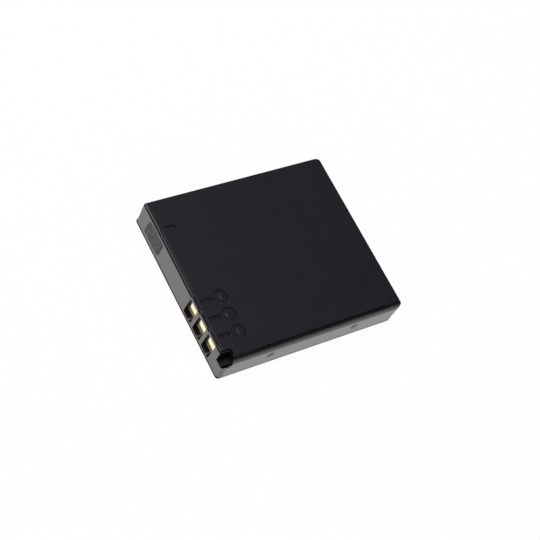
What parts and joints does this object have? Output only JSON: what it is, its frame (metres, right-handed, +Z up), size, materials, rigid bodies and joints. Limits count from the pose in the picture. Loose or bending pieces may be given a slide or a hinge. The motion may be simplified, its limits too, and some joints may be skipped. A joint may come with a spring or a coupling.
{
  "type": "camera battery",
  "caption": "Slim rectangular rechargeable camera battery in a black plastic case, with gold contacts in windows at one end beside a keying notch.",
  "frame": {"origin": "middle of the pack's footprint, on its underside", "axes": "+X from the contact end to the far end, +Y from the front wall to the back wall, +Z up through the top face"},
  "size_m": [0.042, 0.0372, 0.0059],
  "materials": {
    "case_plastic": "fine matte black moulded plastic, smoother on the edges and walls",
    "contact_gold": "bright gold-plated sheet",
    "board_laminate": "green solder mask over glass-fibre laminate",
    "chip_resin": "black moulded chip resin",
    "chip_ceramic": "small fired chip parts",
    "nickel_strip": "plain nickel strip",
    "cell_aluminium": "drawn aluminium can",
    "fuse_resin": "pale moulded resin",
    "gasket_resin": "grey sealing ring",
    "insulating_paper": "grey-green insulating paper",
    "adhesive_foam": "thin double-sided foam pad"
  },
  "bodies": {
    "root": {"top_case": "case_plastic", "bottom_cover": "case_plastic", "contact_positive": "contact_gold", "contact_temperature": "contact_gold", "contact_negative": "contact_gold", "circuit_board": "board_laminate", "power_switch": "chip_resin", "protection_chip": "chip_resin", "thermistor": "chip_ceramic", "resistor_1": "chip_ceramic", "resistor_2": "chip_ceramic", "resistor_3": "chip_ceramic", "capacitor_1": "chip_ceramic", "capacitor_2": "chip_ceramic", "fuse_lead": "nickel_strip", "thermal_fuse": "fuse_resin", "negative_strap": "nickel_strip", "negative_terminal": "nickel_strip", "terminal_gasket": "gasket_resin", "positive_tab": "nickel_strip", "insulating_paper": "insulating_paper", "cell_can": "cell_aluminium", "adhesive_pad": "adhesive_foam"}
  },
  "joints": []
}
